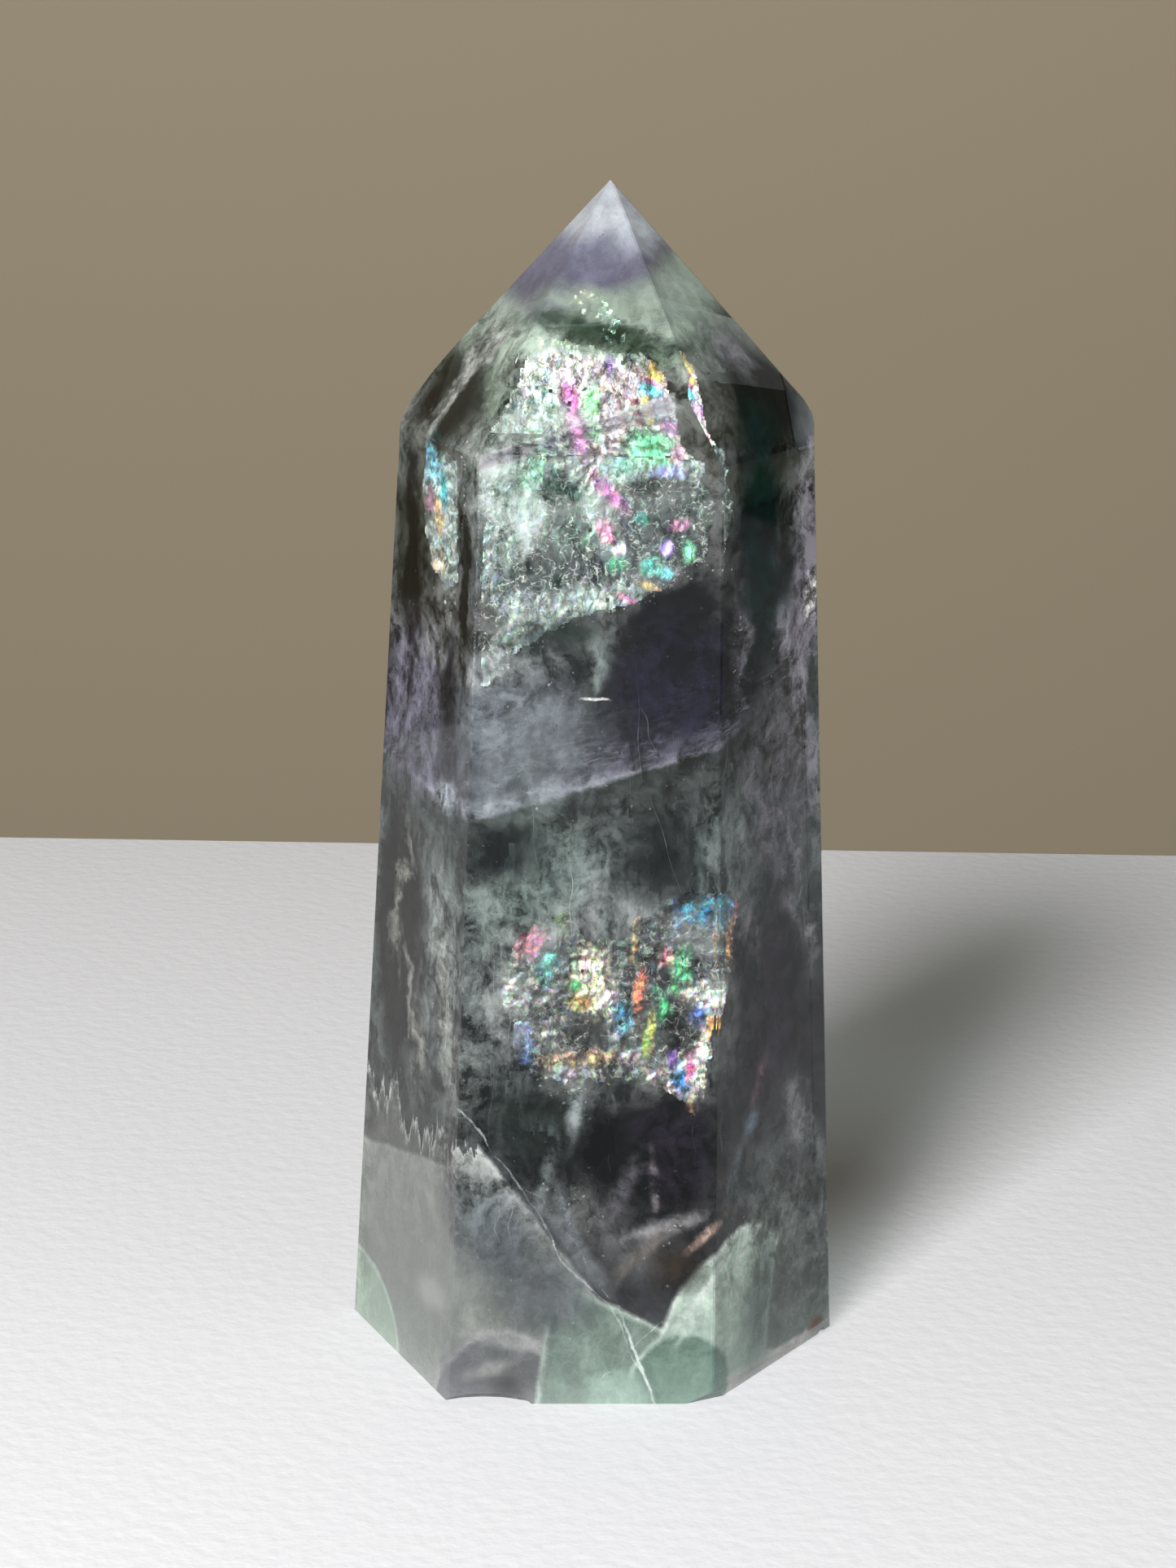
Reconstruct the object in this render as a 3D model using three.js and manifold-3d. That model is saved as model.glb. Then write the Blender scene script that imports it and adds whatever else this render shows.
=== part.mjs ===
// A polished fluorite point: a six-sided tower with a six-sided tip, ground from one piece of crystal.
// Millimetres, +Z up. The ground base lies on z = 0 and the origin is in the middle of it.
// -Y is the front. Compass angles are in degrees: -90 faces the front, 0 faces the right, 90 the back.

import * as THREE from "three";
import { mergeVertices } from "three/addons/utils/BufferGeometryUtils.js";
import Module from "manifold-3d";

const wasm = await Module();
wasm.setup();

// ---- Driving dimensions ----

const HEIGHT = 99.2; // ground base to apex, before the apex is blunted
const BLANK_RADIUS = 27; // the sawn blank that the tower is ground from
const BLANK_SPARE = 4; // how far the blank stands above the apex
const BLANK_SEGMENTS = 24;
const LAP_SIDE = 500; // the block of stone that grinding one facet can take away

// The six sides. reach is how far a side is from the axis at the base, lean how far it leans in.
const SIDES = {
  left: { compass: -153.9, reach: 18.12, lean: 2.1 },
  front: { compass: -87.9, reach: 16.75, lean: 1.9 },
  right: { compass: -36.1, reach: 17.85, lean: 1.7 },
  backRight: { compass: 26.1, reach: 18.47, lean: 3.07 },
  back: { compass: 92.1, reach: 16.75, lean: 2.2 },
  backLeft: { compass: 143.9, reach: 18.05, lean: 3.05 },
};

// The tip facets, which meet in the apex. slope is measured from the level.
const TIPS = {
  left: { compass: -153.9, slope: 51.4 },
  front: { compass: -100.8, slope: 51.6 },
  right: { compass: -32.0, slope: 49.6 },
  backRight: { compass: 26.1, slope: 52.0 },
  back: { compass: 92.1, slope: 52.4 },
  backLeft: { compass: 143.9, slope: 52.6 },
};

// Second, steeper cuts along the shoulders, and how high each one's plane crosses the axis.
const SHOULDERS = {
  left: { compass: -153.9, slope: 56.5, crossing: 101.9 },
  right: { compass: -36.5, slope: 66.0, crossing: 113.2 },
  backRight: { compass: 26.1, slope: 59.0, crossing: 104.3 },
  backLeft: { compass: 143.9, slope: 58.5, crossing: 103.1 },
};

// Widths of the narrow flats where the polishing wheel has softened an edge, from the widest worn one
// on the right to the crisp ones.
const SOFT_RIGHT_EDGE = 1.3;
const SOFT_SHOULDER = 0.6;
const SOFT_WORN_EDGE = 0.5;
const SOFT_EDGE = 0.22;
const APEX_FLAT_DROP = 0.15; // how much of the apex is rubbed away

// Wear at the foot, facing downwards: a bevel that runs out towards the front, and a rubbed corner.
const FOOT_WEAR = {
  rightBevel: { compass: -34.4, slope: 113, reach: 17.8, height: 0.85 },
  frontRightCorner: { compass: -62, slope: 132, reach: 18.9, height: 0.75 },
};

// Conchoidal bites out of the edges: where, how far they reach along x, y and z, and their turn about z.
const CHIPS = [
  { name: "front foot chip", at: [-9.0, -17.5, -0.35], reach: [4.2, 1.9, 1.3], turn: 3 },
  { name: "front foot nick", at: [-6.0, -17.1, -0.2], reach: [1.05, 0.9, 0.8], turn: 10 },
  { name: "right foot corner", at: [20.9, -2.4, -0.1], reach: [0.9, 1.5, 0.75], turn: 50 },
  { name: "right foot nick", at: [16.6, -8.6, 0.5], reach: [0.35, 0.8, 0.6], turn: 54 },
  { name: "left foot nick", at: [-19.0, -4.8, -0.1], reach: [0.5, 0.5, 0.35], turn: 30 },
  { name: "pit on the front left edge", at: [-11.95, -16.2, 14.7], reach: [0.6, 0.5, 0.85], turn: 30 },
  { name: "left shoulder flake", at: [-16.75, 0.25, 80.6], reach: [0.75, 0.95, 1.0], turn: 15 },
  { name: "left edge flake", at: [-17.4, -0.3, 76.4], reach: [0.55, 0.9, 1.9], turn: 15 },
  { name: "tip scratch", at: [-1.15, -3.45, 95.0], reach: [0.95, 0.13, 0.16], turn: 20 },
];

// The bruise high on the right side: small flakes one above the other, stepping to and fro along the side.
const BRUISE = {
  x: 17.3, y: -4.45, bottom: 64.2, top: 68.0, turn: 37,
  flakes: 6, radius: 0.95, sideStep: 0.5,
};
// Two longer flakes off the edge below it.
const LOW_BRUISES = [
  { at: [18.2, -3.0, 54.0], reach: [0.4, 0.6, 0.75] },
  { at: [18.35, -3.0, 50.2], reach: [0.4, 0.6, 1.6] },
];
const CHIP_DETAIL = 2; // subdivisions of the faceted ball that bites a chip
const SAME_POINT = 1e-4; // corners nearer than this are one corner

// ---- Planes and solids ----

const rad = THREE.MathUtils.degToRad;

// The way a facet faces, from its compass angle and its slope.
function facing(compass, slope) {
  const level = Math.sin(rad(slope));
  const x = level * Math.cos(rad(compass));
  const y = level * Math.sin(rad(compass));
  return new THREE.Vector3(x, y, Math.cos(rad(slope)));
}

// A facet's plane through the point that is reach from the axis at that height.
function plane(compass, slope, reach, height) {
  const normal = facing(compass, slope);
  const out = new THREE.Vector3(Math.cos(rad(compass)), Math.sin(rad(compass)), 0);
  const point = out.multiplyScalar(reach).setZ(height);
  return new THREE.Plane().setFromNormalAndCoplanarPoint(normal, point);
}

// The flat, width wide, that replaces the edge where two facets meet.
function softened(a, b, width) {
  const sum = a.normal.clone().add(b.normal);
  const length = sum.length();
  const halfTurn = a.normal.angleTo(b.normal) / 2;
  const depth = (width / 2) * Math.tan(halfTurn);
  return new THREE.Plane(sum.divideScalar(length), (a.constant + b.constant) / length + depth);
}

function solidFrom(geometry, matrix) {
  const bare = geometry.clone().applyMatrix4(matrix);
  bare.deleteAttribute("normal");
  bare.deleteAttribute("uv");
  const merged = mergeVertices(bare, SAME_POINT);
  const vertProperties = merged.attributes.position.array;
  const triVerts = new Uint32Array(merged.index.array);
  return new wasm.Manifold(new wasm.Mesh({ numProp: 3, vertProperties, triVerts }));
}

// Everything on the outer side of a facet's plane, as one block.
const lapBlock = new THREE.BoxGeometry(LAP_SIDE, LAP_SIDE, LAP_SIDE);

function groundAway(facet) {
  const centre = facet.normal.clone().multiplyScalar(LAP_SIDE / 2 - facet.constant);
  const turn = new THREE.Quaternion().setFromUnitVectors(new THREE.Vector3(0, 0, 1), facet.normal);
  const matrix = new THREE.Matrix4().compose(centre, turn, new THREE.Vector3(1, 1, 1));
  return solidFrom(lapBlock, matrix);
}

const chipBall = new THREE.IcosahedronGeometry(1, CHIP_DETAIL);

function bite({ at, reach, turn = 0 }) {
  const aim = new THREE.Quaternion().setFromAxisAngle(new THREE.Vector3(0, 0, 1), rad(turn));
  const matrix = new THREE.Matrix4().compose(new THREE.Vector3(...at), aim, new THREE.Vector3(...reach));
  return solidFrom(chipBall, matrix);
}

// ---- The facets, in grinding order ----

const side = {};
for (const [name, s] of Object.entries(SIDES)) {
  side[name] = plane(s.compass, 90 - s.lean, s.reach, 0);
}

const tip = {};
for (const [name, t] of Object.entries(TIPS)) {
  tip[name] = plane(t.compass, t.slope, 0, HEIGHT);
}

const shoulder = {};
for (const [name, s] of Object.entries(SHOULDERS)) {
  shoulder[name] = plane(s.compass, s.slope, 0, s.crossing);
}

const apexFlat = new THREE.Plane(new THREE.Vector3(0, 0, 1), APEX_FLAT_DROP - HEIGHT);

const softFlats = [
  softened(side.front, tip.front, SOFT_SHOULDER),
  softened(side.left, shoulder.left, SOFT_EDGE),
  softened(side.right, shoulder.right, SOFT_EDGE),
  softened(side.backRight, shoulder.backRight, SOFT_EDGE),
  softened(side.back, tip.back, SOFT_EDGE),
  softened(side.backLeft, shoulder.backLeft, SOFT_EDGE),
  softened(side.right, side.backRight, SOFT_RIGHT_EDGE),
  softened(side.left, side.backLeft, SOFT_WORN_EDGE),
  softened(side.left, side.front, SOFT_EDGE),
  softened(side.front, side.right, SOFT_EDGE),
  softened(side.backRight, side.back, SOFT_EDGE),
  softened(side.back, side.backLeft, SOFT_EDGE),
  softened(tip.left, tip.front, SOFT_EDGE),
  softened(tip.front, tip.right, SOFT_EDGE),
  softened(tip.right, tip.backRight, SOFT_WORN_EDGE),
  softened(tip.backRight, tip.back, SOFT_EDGE),
  softened(tip.back, tip.backLeft, SOFT_EDGE),
  softened(tip.backLeft, tip.left, SOFT_EDGE),
];

const footWear = Object.values(FOOT_WEAR).map((w) => plane(w.compass, w.slope, w.reach, w.height));

// ---- The stone ----

function cutStone() {
  const tall = HEIGHT + BLANK_SPARE;
  const blank = new THREE.CylinderGeometry(BLANK_RADIUS, BLANK_RADIUS, tall, BLANK_SEGMENTS);
  const upright = new THREE.Matrix4().makeRotationX(Math.PI / 2).setPosition(0, 0, tall / 2);
  let stone = solidFrom(blank, upright);
  const facets = [...Object.values(side), ...Object.values(tip), ...Object.values(shoulder), apexFlat];
  for (const facet of [...facets, ...softFlats, ...footWear]) {
    stone = stone.subtract(groundAway(facet));
  }
  for (const chip of [...CHIPS, ...LOW_BRUISES]) {
    stone = stone.subtract(bite(chip));
  }
  const along = facing(SIDES.right.compass + 90, 90);
  for (let i = 0; i < BRUISE.flakes; i += 1) {
    const z = THREE.MathUtils.lerp(BRUISE.bottom, BRUISE.top, i / (BRUISE.flakes - 1));
    const step = i % 2 === 0 ? BRUISE.sideStep : -BRUISE.sideStep;
    const centre = new THREE.Vector3(BRUISE.x, BRUISE.y, z).addScaledVector(along, step);
    const reach = [BRUISE.radius, BRUISE.radius, BRUISE.radius];
    stone = stone.subtract(bite({ at: centre.toArray(), reach, turn: BRUISE.turn * i }));
  }
  return stone;
}

// The stone as a geometry of flat facets, with the origin in the middle of its base.
function geometryOf(solid) {
  const mesh = solid.getMesh();
  const geometry = new THREE.BufferGeometry();
  geometry.setAttribute("position", new THREE.BufferAttribute(mesh.vertProperties, mesh.numProp));
  geometry.setIndex(new THREE.BufferAttribute(mesh.triVerts, 1));
  geometry.computeBoundingBox();
  const middle = geometry.boundingBox.getCenter(new THREE.Vector3());
  geometry.translate(-middle.x, -middle.y, -geometry.boundingBox.min.z);
  geometry.computeVertexNormals();
  return geometry;
}

const fluorite = new THREE.MeshStandardMaterial({
  color: "#8f9a99",
  roughness: 0.06,
  metalness: 0,
  flatShading: true,
});

const point = new THREE.Mesh(geometryOf(cutStone()), fluorite);
point.name = "fluorite_point";

const group = new THREE.Group();
group.add(point);

export default group;
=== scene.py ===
"""The looks of a polished fluorite point: a six-sided tower of banded green and violet fluorite, with a
silvery cleavage crack across its upper half, a rainbow crack below it and milky zones at its foot.

Sizes are millimetres, turned into metres by MM. -Y is the front, +Z is up, z = 0 is the table."""

import math
import random

import bpy
from mathutils import Matrix, Vector, noise


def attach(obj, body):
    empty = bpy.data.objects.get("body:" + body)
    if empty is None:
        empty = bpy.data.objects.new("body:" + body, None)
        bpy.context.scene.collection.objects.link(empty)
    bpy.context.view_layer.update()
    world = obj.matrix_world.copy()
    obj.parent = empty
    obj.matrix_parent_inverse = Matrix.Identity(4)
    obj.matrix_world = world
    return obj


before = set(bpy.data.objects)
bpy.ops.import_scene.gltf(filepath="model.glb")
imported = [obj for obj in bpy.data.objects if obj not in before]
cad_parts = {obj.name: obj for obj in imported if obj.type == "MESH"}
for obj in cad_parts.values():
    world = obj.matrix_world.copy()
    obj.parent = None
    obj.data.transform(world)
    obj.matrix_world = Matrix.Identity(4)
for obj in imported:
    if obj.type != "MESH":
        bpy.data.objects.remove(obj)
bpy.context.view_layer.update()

MM = 0.001
FLUORITE_IOR = 1.434
TEAR_SEED = 7  # without a seed, torn edges would differ from run to run
noise.seed_set(TEAR_SEED)


# ---- Camera ----

CAMERA_AT = (-1.04, -282.58, 126.56)
CAMERA_PITCH = 15.3875  # degrees below the level
CAMERA_ROLL = 0.9
CAMERA_LENS = 80.09
CAMERA_SENSOR = 36  # mm, along the picture's height
NEAREST_SEEN, FARTHEST_SEEN = 10, 10000


def set_camera():
    pitch, roll = math.radians(CAMERA_PITCH), math.radians(CAMERA_ROLL)
    ahead = Vector((0, math.cos(pitch), -math.sin(pitch)))
    level = Vector((1, 0, 0))
    upright = level.cross(ahead)
    right = level * math.cos(roll) + upright * math.sin(roll)
    up = upright * math.cos(roll) - level * math.sin(roll)
    bpy.ops.object.camera_add()
    camera = bpy.context.object
    camera.data.lens = CAMERA_LENS
    camera.data.sensor_width = CAMERA_SENSOR
    camera.data.clip_start = NEAREST_SEEN * MM
    camera.data.clip_end = FARTHEST_SEEN * MM
    turn = Matrix((right, up, -ahead)).transposed().to_4x4()
    camera.matrix_world = Matrix.Translation(Vector(CAMERA_AT) * MM) @ turn
    bpy.context.scene.camera = camera


# ---- Nodes and colours ----


def linear(hex_colour):
    """An sRGB hex colour as the linear colour that a shader takes."""
    parts = [int(hex_colour[i : i + 2], 16) / 255 for i in (1, 3, 5)]
    return [p / 12.92 if p <= 0.04045 else ((p + 0.055) / 1.055) ** 2.4 for p in parts] + [1.0]


def new_material(name):
    material = bpy.data.materials.new(name)
    material.use_nodes = True
    material.node_tree.nodes.clear()
    return material


def add(material, kind, feeds=None, out=0, **settings):
    """Adds a node with its settings and gives its output called out, or else its first one. feeds gives
    its sockets a value each, or the socket that drives them."""
    node = material.node_tree.nodes.new("ShaderNode" + kind)
    for name, value in settings.items():
        setattr(node, name, value)
    for name, value in (feeds or {}).items():
        if isinstance(value, bpy.types.NodeSocket):
            material.node_tree.links.new(value, node.inputs[name])
        else:
            node.inputs[name].default_value = value
    return node.outputs[out] if node.outputs else None


def place_in_stone(material):
    """Where a point lies in the stone, in millimetres."""
    where = add(material, "TexCoord", out="Object")
    return add(material, "VectorMath", {0: where, "Scale": 1 / MM}, operation="SCALE")


def drifting(material, place, grain, reach):
    """The place, pushed to and fro by up to reach mm, in swirls of about grain mm."""
    noise_at = {"Vector": place, "Scale": 1 / grain, "Detail": 5.0, "Roughness": 0.6}
    swirl = add(material, "TexNoise", noise_at, out="Color")
    push = add(material, "VectorMath", {0: swirl, 1: (0.5, 0.5, 0.5)}, operation="SUBTRACT")
    push = add(material, "VectorMath", {0: push, "Scale": 2 * reach}, operation="SCALE")
    return add(material, "VectorMath", {0: place, 1: push}, operation="ADD")


def out_of_egg(material, place, centre, reach, tilt):
    """How far a place is from an egg's centre: 1 on its shell. tilt leans the egg clockwise as seen from
    the front."""
    egg = {"Vector": place, "Location": centre, "Rotation": (0, math.radians(tilt), 0), "Scale": reach}
    local = add(material, "Mapping", egg, vector_type="TEXTURE")
    return add(material, "VectorMath", {0: local}, operation="LENGTH", out="Value")


def cloud(material, place, centre, reach, tilt=0, soft=0.4):
    """1 inside an egg-shaped cloud, 0 outside it, with a soft border."""
    far = out_of_egg(material, place, centre, reach, tilt)
    fade = {"Value": far, "From Min": 1 + soft, "From Max": 1 - soft}
    return add(material, "MapRange", fade, interpolation_type="SMOOTHSTEP")


def lay_over(material, look, share, tint, milk):
    """Lays a tint and a milk over the look, which is a colour socket and a milk socket, where share is 1."""
    colour = add(material, "Mix", {0: share, 6: look[0], 7: linear(tint)}, data_type="RGBA", out=2)
    density = add(material, "Mix", {0: share, 2: look[1], 3: milk}, data_type="FLOAT")
    return colour, density


# ---- The polished stone ----

# Growth bands, one above the other: height of each band's foot, colour, milk. They lie tilted, as the
# growth boundary does.
BANDS = [
    (0, "#86958e", 0.34),
    (7, "#7c8083", 0.28),
    (13, "#4f4e53", 0.12),
    (26, "#4c4c50", 0.12),
    (31, "#69716f", 0.18),
    (49, "#848e8c", 0.25),
    (56.4, "#555d5a", 0.10),
    (56.6, "#8e8e99", 0.32),
    (57.3, "#62616f", 0.24),
    (62, "#3b3a44", 0.14),
    (66.4, "#34343b", 0.12),
    (68, "#e4e8e7", 0.04),
    (84, "#dfe5e1", 0.05),
    (87.5, "#7f8d7e", 0.34),
    (91.8, "#9caa9e", 0.4),
    (93.0, "#716f80", 0.40),
    (95.6, "#85849a", 0.40),
    (96.6, "#c6cad0", 0.42),
]
BAND_LEAN = Vector((-0.3, -0.234, 1))
BANDS_TOP = 100

# Clouds near the faces: colour, milk, centre, reach, tilt, softness.
CLOUDS = {
    "green crescent": ("#4c614f", 0.26, (-0.2, -9.3, 87.7), (7.2, 4, 1.0), 9, 0.7),
    "clear over the crack's top": ("#dfe5e1", 0.02, (-0.6, -11.6, 84.4), (7.4, 4, 2.1), 9, 0.2),
    "green right of the tip": ("#b3c3b6", 0.5, (6.2, -4, 90.6), (2.6, 5, 4.0), 38, 0.9),
    "pale right of the tip": ("#c9d0d6", 0.5, (2.4, -1.6, 95.6), (1.6, 3, 2.6), 30, 0.9),
    "green below the violet": ("#9fae9f", 0.42, (-1.0, -8, 90.2), (6.0, 4, 1.0), 6, 0.8),
    "dark right shoulder": ("#232427", 0.12, (12.3, -5.5, 82.3), (6.0, 7, 6), 30, 0.5),
    "dark left shoulder": ("#2b2c26", 0.12, (-12.3, -4.5, 81.5), (4.5, 6, 6), -35, 0.5),
    "left shoulder streak": ("#a9aba5", 0.34, (-11.5, -5.5, 83.7), (0.6, 5, 6.5), 33, 0.6),
    "right shoulder streak": ("#94939a", 0.32, (9.5, -7, 86.5), (2.4, 4, 0.6), 35, 0.8),
    "haze before the crack": ("#a9b8b2", 0.4, (-7.2, -15, 75.4), (2.2, 4, 3.4), 0, 0.8),
    "haze before the crack's middle": ("#93a49c", 0.24, (-3.6, -15, 76.6), (3.6, 4, 1.6), 0, 0.8),
    "grey past the teal": ("#8d8992", 0.56, (17.0, -4.5, 69), (2.2, 6, 9), 0, 0.6),
    "smoke under the teal": ("#2b3334", 0.16, (12, -10, 62), (3, 6, 5), 0, 0.6),
    "right wisp": ("#9d9ba3", 0.44, (14.6, -8, 63), (0.7, 6, 6.5), -15, 0.9),
    "teal black": ("#0d3a38", 0.16, (12.5, -10, 73.2), (3.8, 6, 9.0), -4, 0.55),
    "pale column": ("#97959f", 0.42, (11.0, -12, 63.5), (0.7, 4, 3.4), 0, 0.9),
    "black slit": ("#050507", 0.5, (11.6, -11.7, 59.8), (0.55, 3, 1.9), 0, 0.4),
    "second right wisp": ("#a09da7", 0.70, (16.4, -6, 55), (0.9, 6, 8), -10, 0.9),
    "low right wisp": ("#bebcc3", 0.74, (16.2, -6, 40), (0.6, 5, 5), -22, 0.9),
    "left green-grey": ("#4e534a", 0.18, (-16, -4, 69), (3, 7, 9), 0, 0.5),
    "dark band by the sliver": ("#1b1a16", 0.08, (-15.5, -3.4, 68), (0.75, 2.6, 9), 0, 0.35),
    "dark band at the corner": ("#282925", 0.10, (-11.0, -12.9, 67), (0.7, 2.0, 10), 0, 0.4),
    "greenish smoke": ("#2f3f38", 0.16, (-3.0, -15, 64.6), (5.0, 6, 2.6), -14, 0.85),
    "dark under the crack": ("#1c1e24", 0.08, (6.2, -15, 66.6), (5.0, 5, 3.0), -25, 0.4),
    "thin haze": ("#8f9c97", 0.26, (-0.6, -15, 61.9), (0.8, 4, 3.0), 18, 0.95),
    "deep violet": ("#1a1829", 0.3, (6, -14.5, 61), (5.8, 6, 5.2), 10, 0.5),
    "haze over the boundary": ("#868d93", 0.37, (-6.8, -15, 57.0), (5.2, 5, 5.2), -16, 0.9),
    "bright boundary": ("#9ca3ab", 0.34, (-6.0, -15.6, 52.0), (5.0, 4, 0.7), -16.5, 0.9),
    "left violet": ("#6c6a78", 0.42, (-15.8, -5, 56.5), (4.0, 7, 7), 0, 0.5),
    "violet stripe by the corner": ("#403f48", 0.2, (-12.4, -11, 59), (1.0, 3, 7), 0, 0.6),
    "crumpled nib": ("#8f959c", 0.5, (-12.4, -11.6, 50.4), (2.0, 3, 1.5), -12, 0.6),
    "pale green mist": ("#75837d", 0.34, (-6, -15, 43), (4.4, 5, 7), 0, 0.9),
    "grey mist low left": ("#727977", 0.34, (-7.8, -15, 33), (3.2, 5, 6), 0, 0.9),
    "mist in the middle": ("#84898a", 0.34, (0.8, -15, 41.5), (1.6, 5, 5.5), 6, 0.9),
    "dark hollow": ("#232527", 0.08, (4.8, -15, 47), (2.8, 5, 4.2), 20, 0.95),
    "dark hollow on the left": ("#1e2624", 0.10, (-8.0, -15.4, 47.0), (3.0, 4, 2.0), -15, 0.95),
    "clear around the rainbow": ("#c8ccca", 0.03, (2, -15, 34.5), (9.5, 4, 8.5), 0, 0.35),
    "dark left strip": ("#12110d", 0.58, (-16.8, -4, 37), (3.4, 8, 14.5), 0, 0.4),
    "mist by the strip": ("#8d918c", 0.46, (-12.4, -13, 34), (1.1, 4, 9), -6, 0.9),
    "wisp by the right edge": ("#afadb4", 0.74, (15.6, -7, 47), (0.4, 6, 7), -14, 0.9),
    "wisp down the right": ("#a6a4ab", 0.74, (13.6, -9, 36), (0.5, 6, 6), -18, 0.9),
    "wisp at the right foot": ("#9da0a0", 0.68, (16.2, -6, 24), (0.9, 6, 6), -24, 0.9),
    "wisp on the left strip": ("#77786f", 0.5, (-16.6, -4, 41), (0.3, 5, 6), 4, 0.9),
    "low wisp on the left strip": ("#7a7b74", 0.5, (-15.4, -7, 31), (0.35, 5, 5), -6, 0.9),
    "lavender right": ("#74737b", 0.38, (14.8, -8, 51), (3.6, 7, 8), 0, 0.7),
    "violet right": ("#3d3a45", 0.20, (14.5, -8, 32), (4, 7, 12), 0, 0.7),
    "deep smoke": ("#151519", 0.2, (2.4, -15, 22), (8.0, 7, 5.6), 0, 0.4),
    "green smoke": ("#2c3632", 0.16, (-5, -15.5, 25), (4, 6, 4), 0, 0.6),
    "black window": ("#020203", 0.6, (0.6, -15.6, 22.8), (1.0, 4, 2.1), 15, 0.2),
    "smoky purple": ("#1f1b24", 0.36, (6.3, -15, 22.5), (3.0, 5, 4.8), 0, 0.3),
    "grey right foot": ("#767e7a", 0.37, (15, -8, 9), (5, 8, 11), 0, 0.8),
    "white bruise": ("#cfcdc9", 0.8, (17.5, -4.4, 66.4), (0.8, 1.3, 2.2), 0, 0.7),
    "low white bruise": ("#cfcdc9", 0.8, (18.6, -2.9, 51.6), (0.5, 0.6, 3.4), 0, 0.5),
}

# Bodies with sharp borders: colour and milk, the rim's colour and milk, the planes that bound the body,
# each a point and the side that lies outside, the planes along which it is torn into flames, and the egg
# that rounds it: centre, reach, tilt.
BODIES = {
    "shoulder line": dict(
        look=("#757479", 0.5), rim=("#8f8e90", 0.5),
        planes=[
            ((0, -14, 82.0), (-0.3156, 0, 1)), ((0, -14, 81.2), (0.3156, 0, -1)), ((0, -12.9, 80), (0, 1, 0)),
            ((5.0, -14, 80), (1, 0, 0)), ((-9.8, -14, 80), (-1, 0, 0)),
        ],
    ),
    "milky foot": dict(
        look=("#90948f", 0.48), rim=("#a9aca8", 0.52),
        planes=[((-3.1, -16.4, 13.7), (0.8, -0.1, 0.6)), ((2.4, -16, 7.6), (0.9, 0, 0.35))],
        torn=[((0, 0, 22), (0, 0, 1))],
    ),
    "mottled shelf": dict(
        look=("#6b6d68", 0.4), rim=("#979a96", 0.46),
        planes=[((0, 1.1, 16.2), (0, -0.235, -1)), ((-11.4, -16, 18), (1, 0.3, 0))],
        torn=[((0, 0, 21.4), (0, 0, 1))],
    ),
    "left foot patch": dict(
        look=("#99aa9b", 0.54), rim=("#b0beb1", 0.56), egg=((-20.5, 1, -0.5), (9, 9.2, 6.6), 0),
    ),
    "grey arch": dict(
        look=("#77797a", 0.42), rim=("#a9aaa8", 0.5), egg=((-8.2, -17, -1.2), (5.4, 8, 7.6), 12),
    ),
    "green heart": dict(
        look=("#829389", 0.48), rim=("#adbbb1", 0.54),
        planes=[
            ((-4.2, -16.5, 2), (-0.97, 0, 0.1)), ((-1.9, -16.5, 10.3), (-0.82, 0, 0.57)),
            ((-1.9, -16.5, 10.3), (0.45, 0, 0.89)),
        ],
    ),
    "green tongue": dict(
        look=("#abbdb0", 0.57), rim=("#c9d6cc", 0.6),
        planes=[((7.1, -16.4, 9.7), (-0.82, 0, 0.57)), ((15.0, -9, 8), (0.97, 0.1, -0.1))],
        egg=((11.4, -13, 4.6), (6.2, 9, 9.6), 12),
    ),
    "green lobe": dict(
        look=("#748b7f", 0.5), rim=("#adbfb4", 0.56), egg=((7.4, -16, 1.2), (4.3, 8, 5.2), 14),
    ),
    # A painted reflection: a pale band along the bottom of the right-hand corner, where the bevel mirrors the
    # pale table.
    "painted table reflection on the bevel": dict(
        look=("#b4b2ad", 0.5), rim=("#c2c0bb", 0.5),
        planes=[((0, 0, 1.35), (0, 0, 1)), ((11.6, -14, 1), (-1, 0, 0)), ((17.6, -3, 1), (0, 1, 0))],
    ),
}
RIM = 0.4  # mm, the paler line along a body's border

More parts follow.
